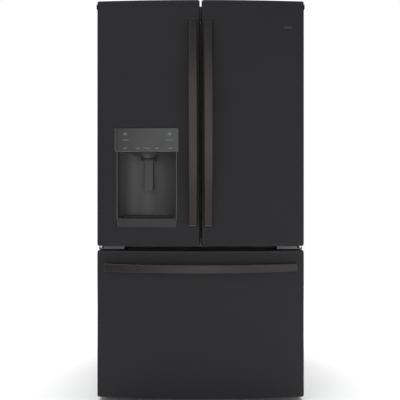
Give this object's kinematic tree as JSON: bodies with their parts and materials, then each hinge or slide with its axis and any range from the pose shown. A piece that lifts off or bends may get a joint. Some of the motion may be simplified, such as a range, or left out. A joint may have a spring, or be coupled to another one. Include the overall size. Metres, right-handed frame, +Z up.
{
  "type": "french door refrigerator",
  "caption": "Free-standing french door refrigerator with a bottom freezer drawer, bowed bar handles and an ice and water dispenser in the left door.",
  "frame": {"origin": "on the floor, under the middle of the overall footprint with the handles included", "axes": "+Z up, -Y out of the front where the doors and the drawer are, +X to the right of a person facing the doors"},
  "size_m": [0.908, 0.944, 1.775],
  "materials": {
    "slate_steel": "satin",
    "cabinet_paint": "matte",
    "handle_metal": "satin",
    "galvanised": "matte",
    "zinc_steel": "satin",
    "foam": "matte",
    "liner_plastic": "satin",
    "clear_plastic": "gloss",
    "shelf_glass": "gloss",
    "gasket_rubber": "matte",
    "flap_plastic": "matte",
    "panel_gloss": "gloss",
    "dispenser_plastic": "satin",
    "black_plastic": "matte",
    "compressor_paint": "satin"
  },
  "bodies": {
    "cabinet": {"outer_case": "cabinet_paint", "back_panel": "galvanised", "cabinet_foam": "foam", "fresh_food_liner": "liner_plastic", "freezer_liner": "liner_plastic", "air_duct": "liner_plastic", "machine_cover": "galvanised", "toe_grille": "black_plastic", "compressor": "compressor_paint", "condenser": "compressor_paint", "drain_pan": "black_plastic", "shelf_upper_left": "shelf_glass", "shelf_upper_right": "shelf_glass", "shelf_lower": "shelf_glass", "crisper_cover": "shelf_glass", "top_hinge_left": "zinc_steel", "top_hinge_right": "zinc_steel", "hinge_cover_left": "black_plastic", "hinge_cover_right": "black_plastic", "centre_hinge_left": "zinc_steel", "centre_hinge_right": "zinc_steel", "runner_outer_left": "zinc_steel", "runner_outer_right": "zinc_steel"},
    "leg_left": {"leveling_leg_left": "zinc_steel"},
    "leg_right": {"leveling_leg_right": "zinc_steel"},
    "roller_left": {"rear_roller_left": "black_plastic"},
    "roller_right": {"rear_roller_right": "black_plastic"},
    "fan": {"condenser_fan": "black_plastic"},
    "crisper_drawer_left": {"crisper_left": "clear_plastic"},
    "crisper_drawer_right": {"crisper_right": "clear_plastic"},
    "left_door": {"left_door_skin": "slate_steel", "left_door_liner": "liner_plastic", "left_door_gasket": "gasket_rubber", "left_door_handle": "handle_metal", "dispenser_panel": "panel_gloss", "dispenser_bezel": "dispenser_plastic", "dispenser_well": "dispenser_plastic", "dispenser_nozzle": "dispenser_plastic", "ice_box": "liner_plastic", "left_door_bin": "clear_plastic"},
    "flap": {"mullion_flap": "flap_plastic"},
    "paddle": {"dispenser_paddle": "dispenser_plastic"},
    "tray": {"drip_tray": "black_plastic"},
    "right_door": {"right_door_skin": "slate_steel", "right_door_liner": "liner_plastic", "right_door_gasket": "gasket_rubber", "right_door_handle": "handle_metal", "right_door_bin_lower": "clear_plastic", "right_door_bin_middle": "clear_plastic", "right_door_bin_upper": "clear_plastic"},
    "freezer_drawer": {"drawer_skin": "slate_steel", "drawer_liner": "liner_plastic", "drawer_gasket": "gasket_rubber", "drawer_handle": "handle_metal", "lower_basket": "clear_plastic", "runner_inner_left": "zinc_steel", "runner_inner_right": "zinc_steel"},
    "middle_runners": {"runner_middle_left": "zinc_steel", "runner_middle_right": "zinc_steel"},
    "upper_drawer": {"upper_basket": "clear_plastic"}
  },
  "joints": [
    {"name": "left_door_hinge", "type": "hinge", "parent": "cabinet", "child": "left_door", "pos_m": [-0.441, -0.354, 1.2], "axis": [0, 0, -1], "range_deg": [0, 115]},
    {"name": "mullion_flap_hinge", "type": "hinge", "parent": "left_door", "child": "flap", "pos_m": [-0.044, -0.264, 1.2], "axis": [0, 0, 1], "range_deg": [0, 90]},
    {"name": "right_door_hinge", "type": "hinge", "parent": "cabinet", "child": "right_door", "pos_m": [0.441, -0.354, 1.2], "axis": [0, 0, 1], "range_deg": [0, 115]},
    {"name": "freezer_drawer_slide", "type": "slide", "parent": "cabinet", "child": "freezer_drawer", "axis": [0, -1, 0], "range_m": [0, 0.42]},
    {"name": "middle_runners_slide", "type": "slide", "parent": "cabinet", "child": "middle_runners", "axis": [0, -1, 0], "range_m": [0, 0.21]},
    {"name": "upper_drawer_slide", "type": "slide", "parent": "cabinet", "child": "upper_drawer", "axis": [0, -1, 0], "range_m": [0, 0.26]},
    {"name": "crisper_left_slide", "type": "slide", "parent": "cabinet", "child": "crisper_drawer_left", "axis": [0, -1, 0], "range_m": [0, 0.065]},
    {"name": "crisper_right_slide", "type": "slide", "parent": "cabinet", "child": "crisper_drawer_right", "axis": [0, -1, 0], "range_m": [0, 0.065]},
    {"name": "dispenser_paddle_hinge", "type": "hinge", "parent": "left_door", "child": "paddle", "pos_m": [-0.235, -0.292, 1.064], "axis": [1, 0, 0], "range_deg": [0, 8], "stiffness_Nm_per_rad": 0.5, "springref_deg": -5.73},
    {"name": "drip_tray_lift", "type": "slide", "parent": "left_door", "child": "tray", "axis": [0, 0, 1], "range_m": [0, 0.04]},
    {"name": "condenser_fan_spin", "type": "hinge", "parent": "cabinet", "child": "fan", "pos_m": [0.028, 0.327, 0.168], "axis": [1, 0, 0], "continuous": true},
    {"name": "leveling_leg_left_turn", "type": "hinge", "parent": "cabinet", "child": "leg_left", "pos_m": [-0.4, -0.218, 0.03], "axis": [0, 0, 1], "continuous": true},
    {"name": "leveling_leg_right_turn", "type": "hinge", "parent": "cabinet", "child": "leg_right", "pos_m": [0.4, -0.218, 0.03], "axis": [0, 0, 1], "continuous": true},
    {"name": "rear_roller_left_spin", "type": "hinge", "parent": "cabinet", "child": "roller_left", "pos_m": [-0.4, 0.422, 0.022], "axis": [1, 0, 0], "continuous": true},
    {"name": "rear_roller_right_spin", "type": "hinge", "parent": "cabinet", "child": "roller_right", "pos_m": [0.4, 0.422, 0.022], "axis": [1, 0, 0], "continuous": true}
  ],
  "couplings": [
    {"joint": "mullion_flap_hinge", "follows": "left_door_hinge", "ratio": 0.78},
    {"joint": "middle_runners_slide", "follows": "freezer_drawer_slide", "ratio": 0.5},
    {"joint": "upper_drawer_slide", "follows": "freezer_drawer_slide", "ratio": 0.6}
  ]
}
